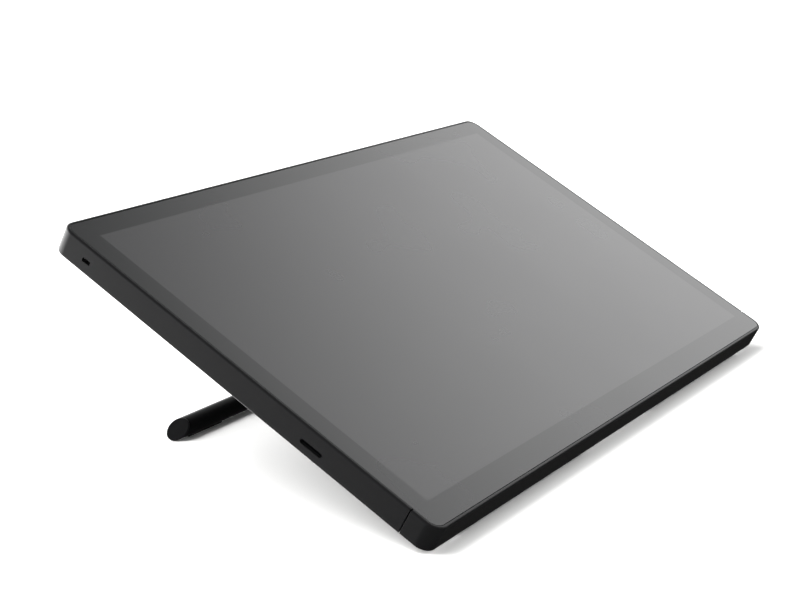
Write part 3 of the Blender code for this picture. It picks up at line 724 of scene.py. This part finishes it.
def makeScrew(node, name, headT):
    # the head lies at the bottom, with the shank above it
    low, high = boxIn(slabAxes, node)
    headRadius = (high.x - low.x) / 2
    seat = Vector(((low.x + high.x) / 2, (low.y + high.y) / 2, low.z))
    bm = bmesh.new()
    addCylinder(bm, headRadius, 0, headT, seat, "Z", 32)
    roundEdges(bm, edgesAt(bm, 2, low.z), screwHead["edge"], 3)
    top = max(bm.faces, key=lambda f: f.calc_center_median().z)
    bmesh.ops.inset_region(bm, faces=[top], use_even_offset=True,
                           thickness=headRadius * screwHead["shankInset"])
    pushFace(bm, top, (0, 0, high.z - low.z - headT))
    screw = toObject(bm, name, blackOxide)
    socket = bmesh.new()
    addCylinder(socket, screwHead["socketRadius"], -overrun, screwHead["socketDepth"], seat, "Z", 6)
    carve(screw, socket)
    finishPiece(screw, slabAxes, node)


button = {"capHalf": (0.0068, 0.0017), "flangeT": 0.0009, "overlap": 0.0002, "edge": 0.0004,
          "dimpleRadius": 0.0009, "dimpleDepth": 0.0001,
          "capRound": 0.999, "collarRound": 0.998}  # corner radii as shares of the half heights


def makeButton():
    low, high = boxIn(slabAxes, "power_button")
    centre = (low + high) / 2
    flange = low.y + button["flangeT"]
    halfX, halfZ = button["capHalf"]
    bm = bmesh.new()
    addRoundedBlock(bm, (centre.x - halfX, flange - button["overlap"], centre.z - halfZ),
                    (centre.x + halfX, high.y, centre.z + halfZ), 1, halfZ * button["capRound"], 10)
    roundEdges(bm, edgesAt(bm, 1, high.y), button["edge"], 3)
    cap = toObject(bm, "powerButton", acetal)
    collar = bmesh.new()
    addRoundedBlock(collar, (low.x, low.y, low.z), (high.x, flange, high.z), 1,
                    (high.z - low.z) / 2 * button["collarRound"], 10)
    carve(cap, collar, "UNION")
    dimple = bmesh.new()
    addCylinder(dimple, button["dimpleRadius"], -button["dimpleDepth"], 2 * overrun,
                (centre.x, high.y, centre.z), "Y", 32)
    carve(cap, dimple)
    finishPiece(cap, slabAxes, "power_button", body="power_button")


for i in range(1, 9):
    makeScrew(f"case_screw_{i}", f"caseScrew{i}", screwHead["caseHeadT"])
for i in range(1, 5):
    makeScrew(f"hinge_screw_{i}", f"hingeScrew{i}", screwHead["hingeHeadT"])
makeButton()

eased = {  # CAD node, the edge that its corners are eased by, and its body
    "front_foot_left": (0.0005, "display"), "front_foot_right": (0.0005, "display"),
    "foot_pad_left": (0.0002, "stand"), "foot_pad_right": (0.0002, "stand"),
    "hinge_leaf_left": (0.0002, "display"), "hinge_leaf_right": (0.0002, "display"),
    "hinge_pin_left": (0.0002, "display"), "hinge_pin_right": (0.0002, "display"),
    "usb_socket_video": (0.0, "display"), "usb_socket_power": (0.0, "display"),
    "lock_plate": (0.0002, "display"),
}
for node, (edge, body) in eased.items():
    first, *others = node.split("_")
    refinedCopy(node, first + "".join(word.capitalize() for word in others), edge, body)
print("small parts made")


# Studio

studio = {
    "floorSize": 24.0, "floorColour": "#f4f4f3", "fibresPerMetre": 900.0,
    "keyFrom": Vector((-0.42, 0.50, 1.0)), "keySpread": 36, "keyStrength": 3.0,
    "fillFrom": Vector((-0.9, -0.35, 0.8)), "fillSpread": 150, "fillStrength": 3.6,
    "ambient": 0.14, "ambientBelow": 0.05, "horizon": (-0.1, 0.1),
    "wallFoot": (0.05, 0.30),  # the right wall fades in between these heights
    "wallFrom": Vector((0.995, -0.105, 0.0)), "wallFade": (0.67, 0.90), "wallBright": 2.75,
    "sweepFrom": Vector((0.10, 0.99, 0.0)), "sweepFade": (0.52, 0.95), "sweepBright": 6.0,
}


def makeFloor():
    bm = bmesh.new()
    bmesh.ops.create_grid(bm, x_segments=1, y_segments=1, size=studio["floorSize"] / 2)
    material, tree, shader = newMaterial("paperSweep")
    place = addNode(tree, "ShaderNodeTexCoord").outputs["Object"]
    fibre = addNode(tree, "ShaderNodeTexNoise", None,
                    {"Vector": place, "Scale": studio["fibresPerMetre"], "Detail": 3.0})
    bump = addNode(tree, "ShaderNodeBump", None,
                   {"Height": fibre.outputs["Fac"], "Strength": 0.05, "Distance": 0.0001})
    tree.links.new(bump.outputs["Normal"], shader.inputs["Normal"])
    setShader(shader, {"Base Color": toLinear(studio["floorColour"]), "Roughness": 0.9,
                       "Specular IOR Level": 0.1})
    floor = toObject(bm, "studioFloor", material)
    floor.visible_glossy = False


def softWall(tree, direction, towards, fade, bright):
    # a bright soft wall of the studio, which fades out around its middle
    facing = addNode(tree, "ShaderNodeVectorMath", {"operation": "DOT_PRODUCT"},
                     {0: direction, 1: towards.normalized()})
    glow = addNode(tree, "ShaderNodeMapRange", {"interpolation_type": "SMOOTHSTEP"},
                   {"Value": facing.outputs["Value"], "From Min": fade[0], "From Max": fade[1],
                    "To Min": 0.0, "To Max": bright})
    return glow.outputs["Result"]


def makeWorld():
    # a dim room with one bright wall on the right and the bright paper sweep behind
    world = bpy.data.worlds.new("studioSurroundings")
    bpy.context.scene.world = world
    world.use_nodes = True
    tree = world.node_tree
    direction = addNode(tree, "ShaderNodeTexCoord").outputs["Generated"]
    wall = softWall(tree, direction, studio["wallFrom"], studio["wallFade"], studio["wallBright"])
    sweep = softWall(tree, direction, studio["sweepFrom"], studio["sweepFade"], studio["sweepBright"])
    height = addNode(tree, "ShaderNodeSeparateXYZ", None, {"Vector": direction})
    room = addNode(tree, "ShaderNodeMapRange", None,
                   {"Value": height.outputs["Z"], "From Min": studio["horizon"][0],
                    "From Max": studio["horizon"][1],
                    "To Min": studio["ambientBelow"], "To Max": studio["ambient"]})
    above = addNode(tree, "ShaderNodeMapRange", None,
                    {"Value": height.outputs["Z"], "From Min": studio["wallFoot"][0],
                     "From Max": studio["wallFoot"][1]})
    wall = addNode(tree, "ShaderNodeMath", {"operation": "MULTIPLY"}, {0: wall, 1: above.outputs["Result"]})
    both = addNode(tree, "ShaderNodeMath", {"operation": "ADD"}, {0: wall.outputs["Value"], 1: sweep})
    total = addNode(tree, "ShaderNodeMath", {"operation": "ADD"},
                    {0: both.outputs["Value"], 1: room.outputs["Result"]})
    background = tree.nodes["Background"]
    background.inputs["Color"].default_value = toLinear("#ffffff")
    tree.links.new(total.outputs["Value"], background.inputs["Strength"])


def addSun(name, source, spread, strength):
    # a broad lamp far away, which lights the paper but leaves no reflection
    data = bpy.data.lights.new(name, "SUN")
    data.energy = strength
    data.angle = math.radians(spread)
    lamp = bpy.data.objects.new(name, data)
    bpy.context.scene.collection.objects.link(lamp)
    lamp.location = source
    lamp.rotation_mode = "QUATERNION"
    lamp.rotation_quaternion = (-source).to_track_quat("-Z", "Y")
    lamp.visible_glossy = False


def makeLights():
    addSun("keySun", studio["keyFrom"], studio["keySpread"], studio["keyStrength"])
    addSun("fillSun", studio["fillFrom"], studio["fillSpread"], studio["fillStrength"])


camera = {"azimuth": -58.33, "elevation": 14.416, "distance": 1.3555, "aimRight": -0.0414, "aimUp": -0.0059,
          "lens": 77.88, "sensor": 36.0, "clip": (0.05, 60.0)}


def makeCamera():
    data = bpy.data.cameras.new("studioCamera")
    data.lens = camera["lens"]
    data.sensor_width = camera["sensor"]
    data.clip_start, data.clip_end = camera["clip"]
    holder = bpy.data.objects.new("studioCamera", data)
    bpy.context.scene.collection.objects.link(holder)
    turn, rise = math.radians(camera["azimuth"]), math.radians(camera["elevation"])
    back = Vector((math.sin(turn) * math.cos(rise), -math.cos(turn) * math.cos(rise), math.sin(rise)))
    right = Vector((math.cos(turn), math.sin(turn), 0))
    up = back.cross(right)
    aim = (cadBox[0] + cadBox[1]) / 2 + right * camera["aimRight"] + up * camera["aimUp"]
    holder.location = aim + back * camera["distance"]
    holder.rotation_mode = "QUATERNION"
    holder.rotation_quaternion = (-back).to_track_quat("-Z", "Y")
    bpy.context.scene.camera = holder


makeFloor()
makeWorld()
makeLights()
makeCamera()
bpy.context.scene.view_settings.view_transform = "Standard"
print("studio made")
